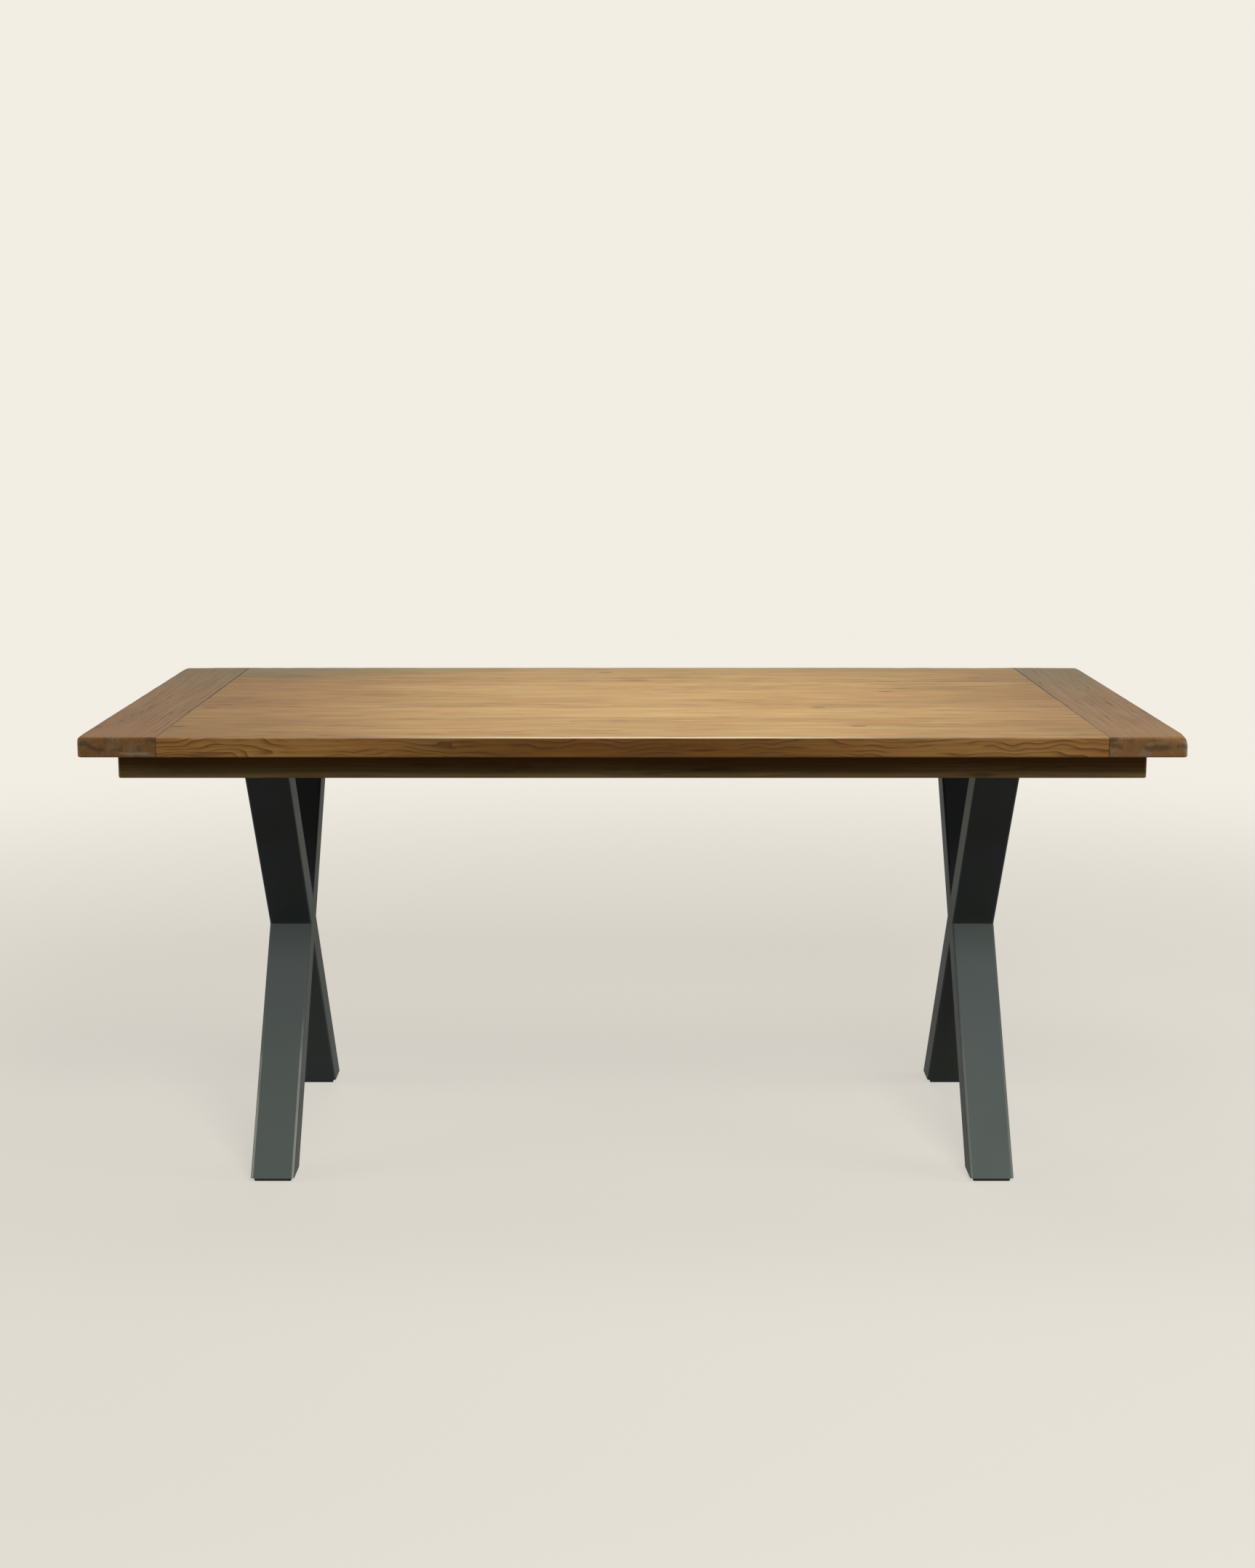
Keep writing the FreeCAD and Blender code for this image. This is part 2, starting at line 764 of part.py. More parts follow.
nodes.append(group("top_buttons", [make_button(x, math.copysign(1, y.number)) for x, y in button_places]))
nodes.append(group("top_button_screws", [make_button_screw(x, y) for x, y in button_places]))
doc.recompute()

# Every feature has to be sound, and every cut has to take something away, before a piece is written
for item in doc.Objects:
    if "Invalid" in item.State or "Error" in item.State:
        raise RuntimeError(f"{item.Name} failed: {item.State}")
    if item.TypeId == "PartDesign::Pocket" and item.Shape.Volume >= item.BaseFeature.Shape.Volume:
        raise RuntimeError(f"{item.Name} in {item.getParent().Label} cuts nothing")
os.makedirs("parts", exist_ok=True)
for node in nodes:
    if node.Shape.isNull() or not node.Shape.isValid() or not node.Shape.Solids:
        raise RuntimeError(f"{node.Label} has no sound shape")
for node in nodes:
    node.Shape.exportStep(f"parts/{node.Label}.step")
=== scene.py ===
import math
from types import SimpleNamespace

import bmesh
import bpy
from mathutils import Matrix, Vector, noise


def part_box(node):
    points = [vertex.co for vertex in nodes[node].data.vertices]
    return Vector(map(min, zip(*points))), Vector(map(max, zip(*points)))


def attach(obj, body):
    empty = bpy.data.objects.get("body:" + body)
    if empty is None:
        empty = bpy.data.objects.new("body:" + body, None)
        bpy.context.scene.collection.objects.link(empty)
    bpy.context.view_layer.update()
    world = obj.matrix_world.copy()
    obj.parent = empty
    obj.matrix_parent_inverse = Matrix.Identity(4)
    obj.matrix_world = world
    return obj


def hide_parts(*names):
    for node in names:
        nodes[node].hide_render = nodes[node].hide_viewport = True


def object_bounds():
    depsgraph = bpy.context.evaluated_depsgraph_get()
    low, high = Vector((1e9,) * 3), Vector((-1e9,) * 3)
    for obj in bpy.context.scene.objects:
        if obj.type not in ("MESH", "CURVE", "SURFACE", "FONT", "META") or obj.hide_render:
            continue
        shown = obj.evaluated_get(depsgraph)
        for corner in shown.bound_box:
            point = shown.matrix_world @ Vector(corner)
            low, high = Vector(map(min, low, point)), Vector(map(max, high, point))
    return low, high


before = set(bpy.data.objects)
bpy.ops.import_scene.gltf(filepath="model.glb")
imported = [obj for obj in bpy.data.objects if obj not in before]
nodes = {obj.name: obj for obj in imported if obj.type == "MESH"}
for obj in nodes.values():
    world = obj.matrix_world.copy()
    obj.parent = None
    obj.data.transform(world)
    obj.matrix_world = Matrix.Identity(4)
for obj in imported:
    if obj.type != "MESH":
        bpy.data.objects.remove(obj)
cad_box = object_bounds()

# Top boards
# Eight boards of old wood, glued edge to edge and oiled, each with its own rings, streaks and stains.
# The two outer boards carry the long edges, which are worn and dark from hands.
front_board_low, front_board_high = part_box("top_board_1")
plank_width = front_board_high.y - front_board_low.y
top_height = front_board_high.z
half_length = cad_box[1].x
half_width = cad_box[1].y
seam_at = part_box("breadboard_right")[0].x
corner_round = 0.008
top_tones = ((0.635, 0.412, 0.162), (0.485, 0.292, 0.098), (0.19, 0.095, 0.028))
lightest_at = 0.065
blush_tint = (1.0, 0.92, 0.93)
left_warmth = (0.97, 0.89, 0.71)
# Painted shade towards the ends of the top, around a painted lighter middle
painted_end_shade = (0.60, 0.55, 0.46)
end_stains = (0.70, 0.67, 0.62)
back_olive = (0.30, 0.235, 0.115)
back_grime = (0.115, 0.095, 0.052)
left_edge = (1.25, 1.24, 1.24)
back_left_shade = (0.68, 0.86, 0.92)
edge_stain = (1.04, 0.92, 0.76)
handled_stain = (0.365, 0.245, 0.097)
edge_line_tone = (0.045, 0.018, 0.006)
# Pale wear and a painted highlight on the upper arris
arris_wear_and_highlight = (0.92, 0.74, 0.50)
seam_grime = (0.055, 0.032, 0.016)
tone_depths = (0.1, 0.42, 0.95)
ring_wander, ring_waver, ring_swirl = 0.035, 0.012, 0.012
heart_depth, heart_drift = 0.02, 0.07
knots_apart = Vector((0.55, 0.16))
knot_stretch = 0.45
knot_core, knot_edge, swirl_reach = 0.003, 0.009, 0.045
side_starts, side_full = -0.0032, -0.0004
grime_starts, grime_full, grime_waver = 0.020, 0.006, 0.02
edge_lines_apart = 0.0085
arris_band_middle, arris_band_core, arris_band_reach = -0.0016, 0.0018, 0.0036
arris_band_low, arris_band_high = -0.008, -0.005
seam_half, seam_dirt = 0.0008, 0.003


class Shade:
    """A socket of a material's node tree. Sums of shades add Math nodes."""

    def __init__(self, tree, socket=None):
        self.tree = tree
        self.socket = socket

    def node(self, kind, settings=None, inputs=None, output=0):
        """Any other node: its settings come first, then the values or links of its sockets."""
        made = self.tree.nodes.new(kind)
        for name, value in (settings or {}).items():
            if name == "stops":
                set_stops(made.color_ramp.elements, value)
            else:
                setattr(made, name, value)
        for name, value in (inputs or {}).items():
            if isinstance(value, Shade):
                self.tree.links.new(value.socket, made.inputs[name])
            else:
                made.inputs[name].default_value = value
        return Shade(self.tree, made.outputs[output] if made.outputs else None)

    def other(self, output):
        """Another output of the same node."""
        return Shade(self.tree, self.socket.node.outputs[output])

    def maths(self, operation, *values):
        return self.node("ShaderNodeMath", {"operation": operation}, dict(enumerate(values)))

    def __add__(self, value):
        return self.maths("ADD", self, value)

    def __radd__(self, value):
        return self.maths("ADD", value, self)

    def __sub__(self, value):
        return self.maths("SUBTRACT", self, value)

    def __rsub__(self, value):
        return self.maths("SUBTRACT", value, self)

    def __mul__(self, value):
        return self.maths("MULTIPLY", self, value)

    def __rmul__(self, value):
        return self.maths("MULTIPLY", value, self)

    def __truediv__(self, value):
        return self.maths("DIVIDE", self, value)

    def __pow__(self, value):
        return self.maths("POWER", self, value)

    def __neg__(self):
        return 0.0 - self

    def __abs__(self):
        return self.maths("ABSOLUTE", self)


def set_stops(elements, stops):
    """Give a colour ramp its stops, each a position and a colour."""
    while len(elements) < len(stops):
        elements.new(1.0)
    for element, (position, color) in zip(elements, stops):
        element.position = position
        element.color = (*color, 1.0)


def new_finish(name):
    """An empty material, and a shade to start its nodes from."""
    finish = bpy.data.materials.new(name)
    finish.use_nodes = True
    finish.node_tree.nodes.clear()
    return finish, Shade(finish.node_tree)


def ease(value, start, end):
    """0 up to start and 1 from end, with a soft rise between."""
    settings = {"interpolation_type": "SMOOTHSTEP"}
    inputs = {"Value": value, "From Min": start, "From Max": end}
    return value.node("ShaderNodeMapRange", settings, inputs)


def cloud(along, across, rise, detail=2.0):
    """Smooth noise from 0 to 1 at a place given by three shades."""
    place = along.node("ShaderNodeCombineXYZ", {}, {"X": along, "Y": across, "Z": rise})
    return along.node("ShaderNodeTexNoise", {}, {"Vector": place, "Scale": 1.0, "Detail": detail})


def mixed(factor, first, second, how="MIX"):
    """Two colours mixed by a shade. A mix node takes colours at inputs 6 and 7 and gives output 2."""
    first = first if isinstance(first, Shade) else (*first, 1.0)
    second = second if isinstance(second, Shade) else (*second, 1.0)
    settings = {"data_type": "RGBA", "blend_type": how}
    return factor.node("ShaderNodeMix", settings, {0: factor, 6: first, 7: second}, output=2)


def close(shade, **inputs):
    """Give a material its surface; an underscore stands for the space in a socket's name."""
    named = {name.replace("_", " "): value for name, value in inputs.items()}
    surface = shade.node("ShaderNodeBsdfPrincipled", {}, named)
    shade.node("ShaderNodeOutputMaterial", {}, {"Surface": surface})


def dress(finish, names):
    """Give CAD pieces a finish."""
    for name in names:
        nodes[name].data.materials.clear()
        nodes[name].data.materials.append(finish)


def timber(name, tones, plank, turn=0.0, ring=0.0046, retint=None, roughness=0.52, gloss=0.25, bold=1.0):
    """Wood with rings about a heart of its own in each plank; turn swings the grain from X towards Y.

    The function given to recolour it takes the bare wood's places, noise and color, and gives its final
    color, with wear and stains and in places painted light and shade.
    """
    finish, start = new_finish(name)
    place = start.node("ShaderNodeTexCoord", output="Object")
    turned = start.node("ShaderNodeMapping", {}, {"Vector": place, "Rotation": (0.0, 0.0, turn)})
    along = start.node("ShaderNodeSeparateXYZ", {}, {"Vector": turned}, "X")
    across = along.other("Y")
    rise = along.other("Z") - top_height
    row = start.maths("FLOOR", across / plank)
    luck = start.node("ShaderNodeTexWhiteNoise", {"noise_dimensions": "1D"}, {"W": row}, "Color")
    luck_along = start.node("ShaderNodeSeparateColor", {}, {"Color": luck}, "Red")
    luck_across = luck_along.other("Green")
    luck_tone = luck_along.other("Blue")

    def figure(length, width, detail=2.0):
        """Noise drawn out along the grain, in marks of about the given length and width."""
        return cloud(along / length + luck_along * 57.0, across / width, rise / width, detail)

    # A few cells of a wide grid hold a knot, and the rings swirl round it
    knot_along = along / knots_apart.x
    knot_across = across / knots_apart.y
    spot = start.node("ShaderNodeCombineXYZ", {}, {"X": knot_along, "Y": knot_across})
    flat = {"voronoi_dimensions": "2D"}
    cells = start.node("ShaderNodeTexVoronoi", flat, {"Vector": spot, "Scale": 1.0}, "Position")
    knot_place = start.node("ShaderNodeSeparateXYZ", {}, {"Vector": cells}, "X")
    from_knot_along = (knot_along - knot_place) * knots_apart.x
    from_knot_across = (knot_across - knot_place.other("Y")) * knots_apart.y
    from_knot = start.maths("SQRT", (from_knot_along * knot_stretch) ** 2.0 + from_knot_across**2.0)
    chance = start.node("ShaderNodeSeparateColor", {}, {"Color": cells.other("Color")}, "Red")
    knotted = ease(chance, 0.55, 0.60)
    knots = knotted * (1.0 - ease(from_knot, knot_core, knot_edge))
    swirl = knotted * (1.0 - ease(from_knot, 0.0, swirl_reach))

    # Rings about a heart that lies off the middle of the plank and wanders along it
    wander = (figure(0.8, 0.3) - 0.5) * ring_wander
    waver = (figure(0.17, 0.07) - 0.5) * ring_waver
    heart_across = across - plank * (row + 0.5) - plank * 1.5 * (luck_across - 0.5) + wander
    heart_rise = rise + heart_depth + heart_drift * luck_tone + wander * 0.6 + waver
    away = start.maths("SQRT", heart_across**2.0 + heart_rise**2.0) + swirl * ring_swirl
    rings = away / ring + (figure(0.22, 0.016, 3.0) - 0.5) * 0.7
    late = start.maths("FRACT", rings) ** 2.5
    # Marks along the grain, and how far each darkens the wood
    streaks = figure(0.28, 0.007, 3.0) - 0.5
    bands = figure(0.18, 0.032, 3.0) - 0.5
    fibres = figure(0.05, 0.0012) - 0.5
    patches = figure(0.30, 0.10, 3.0) - 0.5
    marks = ease(figure(0.12, 0.010), 0.60, 0.80)
    flecks = ease(figure(0.085, 0.011, 1.0), 0.58, 0.74) * ease(figure(0.24, 0.10), 0.42, 0.60)
    grain = 0.33 * streaks + 0.50 * bands + 0.20 * fibres + 0.22 * (late - 0.25)
    grain = grain + 0.38 * marks + 0.35 * flecks
    depth = 0.34 + bold * grain + 0.60 * knots + 0.36 * patches + 0.19 * (luck_tone - 0.5)
    color = start.node("ShaderNodeValToRGB", {"stops": list(zip(tone_depths, tones))}, {"Fac": depth})
    if retint:
        places = {"along": along, "across": across, "rise": rise}
        color = retint(SimpleNamespace(**places, figure=figure, patches=patches, color=color))
    height = -(late * 0.3 + fibres * 0.6 + marks * 0.3 + knots * 0.4)
    bump = start.node("ShaderNodeBump", {}, {"Strength": 0.35, "Distance": 0.0005, "Height": height})
    shine = {"IOR": 1.46, "Specular_IOR_Level": gloss}
    dulled = roughness + 0.2 * streaks + 0.12 * marks
    close(start, Base_Color=color, Roughness=dulled, Normal=bump, **shine)
    return finish


def boards_aged_with_painted_light(wood):
    """Painted shade towards the ends around a lighter middle, olive along the back, stain along the
    free edges, pale wear and a painted highlight on the upper arris.
    """
    # How far a place lies past the upper arris: below 0 on the top, above 0 on the face of a long edge
    past = abs(wood.across) - half_width - wood.rise
    side = ease(past, side_starts, side_full)
    blush = ease(wood.figure(0.20, 0.08), 0.44, 0.62)
    # Painted light and shade: the top is painted lighter about its middle and darker towards its ends
    lightest = lightest_at * (1.0 - side)
    far = ease(abs(wood.along - lightest) + wood.patches * 0.3, 0.30 * seam_at, 1.1 * seam_at)
    leftward = 1.0 - ease(wood.along, -0.6 * seam_at, 0.0)
    back = ease(wood.across + wood.patches * 0.1, 0.70 * half_width, half_width)
    color = mixed(blush, wood.color, blush_tint, "MULTIPLY")
    color = mixed(far, color, painted_end_shade, "MULTIPLY")
    stains = ease(wood.figure(0.11, 0.020), 0.50, 0.70)
    color = mixed(stains * (0.25 + 0.75 * far) * (1.0 - side), color, end_stains, "MULTIPLY")
    color = mixed(far * leftward * (1.0 - side), color, left_warmth, "MULTIPLY")
    color = mixed(back * 0.5, color, back_olive)
    near_back = ease(wood.across + wood.patches * 0.1, 0.40 * half_width, 0.95 * half_width)
    color = mixed(near_back * leftward * far, color, back_left_shade, "MULTIPLY")
    ragged = wood.across + (wood.figure(0.09, 0.05) - 0.5) * grime_waver
    back_arris = ease(ragged, half_width - grime_starts, half_width - grime_full)
    color = mixed(back_arris * 0.6, color, back_grime)
    edge_middle_share = 1.0 - ease(abs(wood.along) + wood.patches * 0.3, 0.20 * seam_at, 0.95 * seam_at)
    color = mixed(side, color, mixed(edge_middle_share, edge_stain, handled_stain), "MULTIPLY")
    color = mixed(far * leftward * side, color, left_edge, "MULTIPLY")
    wave = wood.rise + (wood.figure(0.15, 0.06) - 0.5) * 0.07 + (wood.figure(0.04, 0.02) - 0.5) * 0.004
    lines = wood.along.maths("FRACT", wave / edge_lines_apart) ** 3.0
    shown = ease(wood.figure(0.11, 0.016), 0.36, 0.56)
    color = mixed(side * lines * shown * 0.85, color, edge_line_tone)
    # Pale wear and a painted highlight along the upper arris, strongest amid the long edges
    arris = 1.0 - ease(abs(past - arris_band_middle), arris_band_core, arris_band_reach)
    upper_arris = arris * ease(wood.rise, arris_band_low, arris_band_high)
    arris_band_strength = (0.12 + 0.85 * edge_middle_share**3.0) * ease(wood.patches, -0.3, -0.1)
    color = mixed(upper_arris * arris_band_strength, color, arris_wear_and_highlight)
    joint = 1.0 - ease(abs(abs(wood.along) - seam_at), seam_half, seam_dirt)
    broken = (wood.figure(0.05, 0.05) - 0.5) * half_width
    filled = ease(wood.across + broken, -0.5 * half_width, 0.2 * half_width)
    return mixed(joint * filled * 0.8, color, seam_grime)


top_wood = timber("top_wood", top_tones, plank_width, retint=boards_aged_with_painted_light)
dress(top_wood, [name for name in nodes if name.startswith("top_board_")])

touch = 0.000002
wear_reach = 0.010
wear_depth = 0.0016
wear_falloff = 1.5
wear_slant = 0.7
long_waves, short_waves = 11.0, 43.0
corner_wear = 0.0020
corner_wear_reach = 0.05
wear_step = 0.007
knocked_corner = Vector((half_length, -half_width))
knock_depth = 0.0030
knock_reach = 0.008
chip_at = Vector((-seam_at, -half_width))
chip_reach = 0.009
chip_depth = 0.0035
worn_angle = math.radians(40.0)


def share_between(value, start, end):
    """0 at start, 1 at end, and held there beyond."""
    return min(max((value - start) / (end - start), 0.0), 1.0)


def free_side(place):
    """Distance of a place from the outline of the top, and the way inwards from there."""
    past = Vector((abs(place.x) - half_length + corner_round, abs(place.y) - half_width + corner_round))
    beyond = Vector((max(past.x, 0.0), max(past.y, 0.0)))
    if beyond.length > 0.0:
        distance = corner_round - beyond.length
        way = beyond.normalized()
    else:
        distance = corner_round - max(past)
        way = Vector((1.0, 0.0)) if past.x > past.y else Vector((0.0, 1.0))
    return distance, Vector((-math.copysign(way.x, place.x), -math.copysign(way.y, place.y), 0.0))


def knock_at(place):
    """1 at the front right corner, which is knocked rounder than the others, and 0 away from it."""
    return 1.0 - share_between((place.xy - knocked_corner).length, 0.0, corner_wear_reach)


def wear_at(place):
    """Depth of wear of the upper arris: uneven, least amid a long edge, most at corners and a chip."""
    waves = 0.45 + 0.9 * noise.noise(place * long_waves) + 0.6 * noise.noise(place * short_waves)
    ends = share_between(abs(place.x), 0.35 * half_length, 0.8 * half_length)
    corner = Vector((half_length - abs(place.x), half_width - abs(place.y)))
    cornered = 1.0 - share_between(corner.length, 0.0, corner_wear_reach)
    chipped = 1.0 - share_between((place.xy - chip_at).length, 0.0, chip_reach)
    on_breadboard = abs(place.x) >= seam_at - touch
    along_end = half_length - abs(place.x) < half_width - abs(place.y)
    return (
        wear_depth * max(waves, 0.0) * (0.3 if along_end else 0.3 + 0.7 * ends)
        + corner_wear * cornered**2
        + knock_depth * knock_at(place)
        + chip_depth * chipped * on_breadboard
    )


def steps(start, end, step):
    """Even places between two ends."""
    count = math.ceil((end - start) / step)
    return [start + (end - start) * index / count for index in range(1, count)]


def new_piece(name, shape, finish):
    """Make a modelled shape a piece of the table."""
    mesh = bpy.data.meshes.new(name)
    shape.to_mesh(mesh)
    shape.free()
    mesh.materials.append(finish)
    piece = bpy.data.objects.new(name, mesh)
    bpy.context.scene.collection.objects.link(piece)
    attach(piece, "root")
    return piece


def soften(piece, sharp_angle):
    """Smooth shading, with flat faces kept flat and edges over an angle kept sharp."""
    for face in piece.data.polygons:
        face.use_smooth = True
    piece.data.set_sharp_from_angle(angle=sharp_angle)
    weighted = piece.modifiers.new("flat_faces", "WEIGHTED_NORMAL")
    weighted.keep_sharp = True


def worn_board(node, finish, cuts):
    """A copy of a board with worn edges. cuts are the planes that give it points to move."""
    shape = bmesh.new()
    shape.from_mesh(nodes[node].data)
    bmesh.ops.remove_doubles(shape, verts=shape.verts, dist=touch)
    for axis, places in cuts.items():
        way = Vector([float(letter == axis) for letter in "xyz"])
        for place in places:
            whole = shape.verts[:] + shape.edges[:] + shape.faces[:]
            bmesh.ops.bisect_plane(shape, geom=whole, dist=touch, plane_co=way * place, plane_no=way)
    for vert in shape.verts:
        distance, inwards = free_side(vert.co)
        reach = wear_reach + knock_reach * knock_at(vert.co)
        upper = max(1.0 - (distance + top_height - vert.co.z) / reach, 0.0)
        worn = wear_at(vert.co) * upper**wear_falloff
        vert.co += (inwards + Vector((0.0, 0.0, -1.0))) * worn * wear_slant
    board = new_piece("worn_" + node, shape, finish)
    cad_normals = board.data.attributes.get("custom_normal")
    if cad_normals:
        board.data.attributes.remove(cad_normals)
    soften(board, worn_angle)
    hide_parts(node)


arris_cuts = [0.0055, 0.0075, wear_reach, 0.0135, 0.017]
under_cuts = [top_height - cut for cut in arris_cuts]
board_cuts = steps(-seam_at, seam_at, wear_step)
for node, way in (("top_board_1", -1), ("top_board_8", 1)):
    edge_cuts = [way * (half_width - cut) for cut in arris_cuts]
    worn_board(node, top_wood, {"x": board_cuts, "y": edge_cuts, "z": under_cuts})

# Breadboard ends
# One board across each end keeps the top flat: its groove takes the tongues of the boards.
# The wood is darker and greyer than the boards, and its end grain shows on the long edges of the table.
breadboard_tones = ((0.312, 0.178, 0.072), (0.213, 0.115, 0.0415), (0.088, 0.042, 0.014))
back_grey = (0.167, 0.128, 0.064)
front_warmth = (0.29, 0.142, 0.044)
end_grain_stain = (0.84, 0.81, 0.77)
end_grain_dark = (0.06, 0.033, 0.014)
end_grain_pale = (0.23, 0.155, 0.085)
end_grain_sap = (0.33, 0.245, 0.145)
dark_band_rise = -0.017
dark_band_fades = (0.001, 0.007)
corner_dirt_fades = (0.004, 0.013)
sap_rise = -0.0265
sap_from_seam = 0.035
sap_fades, sap_ends = (0.0012, 0.0026), (0.018, 0.028)
end_seam_dirt = 0.0035
breadboard_ring = 0.006
crosswise_grain = math.pi / 2


def aged_breadboards(wood):
    """Greyed towards the back, warmer at the front, with blotched end grain and a dark joint."""
    back = ease(wood.patches * 0.25 - wood.along, -0.1 * half_width, 0.95 * half_width)
    front = ease(wood.along + wood.patches * 0.3, 0.45 * half_width, 1.05 * half_width)
    color = mixed(back * 0.7, wood.color, back_grey)
    color = mixed(front * 0.55, color, front_warmth)
    leftward = 1.0 - ease(wood.across, -seam_at, seam_at)
    end = ease(abs(wood.along) - half_width - wood.rise, side_starts, side_full)
    color = mixed(leftward * (1.0 - end), color, left_warmth, "MULTIPLY")
    blots = cloud(wood.across / 0.024, wood.rise / 0.013, wood.along / 0.05)
    rays = cloud(wood.across / 0.006, wood.rise / 0.02, wood.along / 0.05)
    swell = (cloud(wood.across / 0.045, wood.rise / 0.06, wood.along / 0.05) - 0.5) * 0.045
    band = wood.rise - dark_band_rise + swell
    color = mixed(end, color, end_grain_stain, "MULTIPLY")
    color = mixed(end * ease(blots, 0.46, 0.66) * 0.7, color, end_grain_pale)
    broken = ease(cloud(wood.across / 0.03, wood.rise / 0.03, wood.along / 0.05), 0.42, 0.58)
    dark_band = (1.0 - ease(abs(band), *dark_band_fades)) * broken
    color = mixed(end * dark_band * 0.7, color, end_grain_dark)
    color = mixed(end * ease(rays, 0.5, 0.75) * 0.35, color, end_grain_dark)
    from_seam = abs(wood.across) - seam_at
    from_corner = wood.along.maths("SQRT", (from_seam * 0.6) ** 2.0 + wood.rise**2.0)
    dirt = 1.0 - ease(from_corner, *corner_dirt_fades)
    color = mixed(end * dirt * 0.8, color, end_grain_dark)
    sap = 1.0 - ease(abs(wood.rise - sap_rise + (blots - 0.5) * 0.004), *sap_fades)
    sap = sap * (1.0 - ease(abs(from_seam - sap_from_seam), *sap_ends)) * leftward
    color = mixed(end * sap * 0.75, color, end_grain_sap)
    joint = 1.0 - ease(abs(from_seam), seam_half, end_seam_dirt)
    patchy = (wood.figure(0.07, 0.07) - 0.5) * half_width
    filled = ease(patchy - wood.along, -0.5 * half_width, 0.2 * half_width)
    return mixed(joint * filled * 0.8, color, seam_grime)


breadboard_grain = {"turn": crosswise_grain, "ring": breadboard_ring, "bold": 1.2}
breadboard_wood = timber(
    "breadboard_wood", breadboard_tones, half_length, retint=aged_breadboards, **breadboard_grain
)
for side, way in (("left", -1), ("right", 1)):
    lengthwise = steps(-half_width, half_width, wear_step)
    crosswise = [way * place for place in steps(seam_at, half_length, wear_step)]
    edge_cuts_x = [way * (half_length - cut) for cut in arris_cuts]
    edge_cuts_y = [face * (half_width - cut) for face in (-1, 1) for cut in arris_cuts]
    cuts = {"x": crosswise + edge_cuts_x, "y": lengthwise + edge_cuts_y, "z": under_cuts}
    worn_board(f"breadboard_{side}", breadboard_wood, cuts)

# Apron
# Four rails, tenoned together and joined by a cross rail, stand back under the top.
# The same wood, stained dark and lightly oiled; near the top its colour is darkened as a painted shadow
# of the overhanging top.
apron_low, apron_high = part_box("apron_rail_front")
apron_tones = ((0.40, 0.268, 0.112), (0.25, 0.158, 0.058), (0.09, 0.05, 0.015))
# Painted shadow near the top of the rails, under the overhang of the top
apron_shade = (0.37, 0.235, 0.048)
shade_starts, shade_full = 0.006, 0.012


def apron_painted_shadow(wood):
    """Painted shadow of the overhanging top: darker towards the top of the rail."""
    height = wood.rise + top_height + wood.patches * 0.02
    up = ease(height, apron_low.z + shade_starts, apron_high.z - shade_full)
    return mixed(up, wood.color, apron_shade, "MULTIPLY")


apron_shadow_and_gloss = {"retint": apron_painted_shadow, "gloss": 0.15}
apron_wood = timber("apron_wood", apron_tones, half_width, **apron_shadow_and_gloss)
apron_wood_across = timber("apron_wood_across", apron_tones, half_width, crosswise_grain, **apron_shadow_and_gloss)
dress(apron_wood, ["apron_rail_front", "apron_rail_back"])
dress(apron_wood_across, ["apron_rail_left", "apron_rail_right", "apron_cross_rail"])

# Glue blocks, buttons, pegs and loose tongues
# Blocks, buttons, pegs and tongues of plain wood, left bare, that hold the joints of the top and apron.
# All but the buttons and blocks lie inside the top.
bare_tones = ((0.50, 0.36, 0.21), (0.42, 0.29, 0.16), (0.26, 0.16, 0.08))
bare_wood = timber("bare_wood", bare_tones, half_width, roughness=0.65)
dress(bare_wood, ["board_splines", "top_buttons", "breadboard_pegs_left", "breadboard_pegs_right"])
dress(bare_wood, [name for name in nodes if name.startswith("glue_block_")])

# Trestles
# An X of rectangular steel tube, one leg through and two halves coped onto it, welded to a plate.
# It is ground flush and powder-coated in graphite; near the floor its rounded edges are painted paler,
# as rubbed coat and a painted highlight.
leg_low, leg_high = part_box("trestle_right_through_leg")
trestle_at = (leg_low.x + leg_high.x) / 2
leg_half_width = (leg_high.x - leg_low.x) / 2
leg_round = 0.004
graphite_blue = (0.080, 0.090, 0.102)
graphite_green = (0.084, 0.101, 0.089)
settled_dust = (0.125, 0.148, 0.138)
floor_dust = (0.150, 0.176, 0.158)
rubbed_coat_and_highlight = (0.50, 0.49, 0.41)
coat_painted_shade = (0.030, 0.034, 0.036)
side_painted_light = (1.75, 1.8, 1.75)
dust_thins = (0.38, 0.50)
painted_shade_above = (0.42, 0.56)
shade_low, shade_high = (0.36, 0.42), (0.48, 0.72)
painted_light_above = (0.40, 0.56)
floor_dust_height = 0.34
rub_and_highlight_heights = (0.06, 0.26)


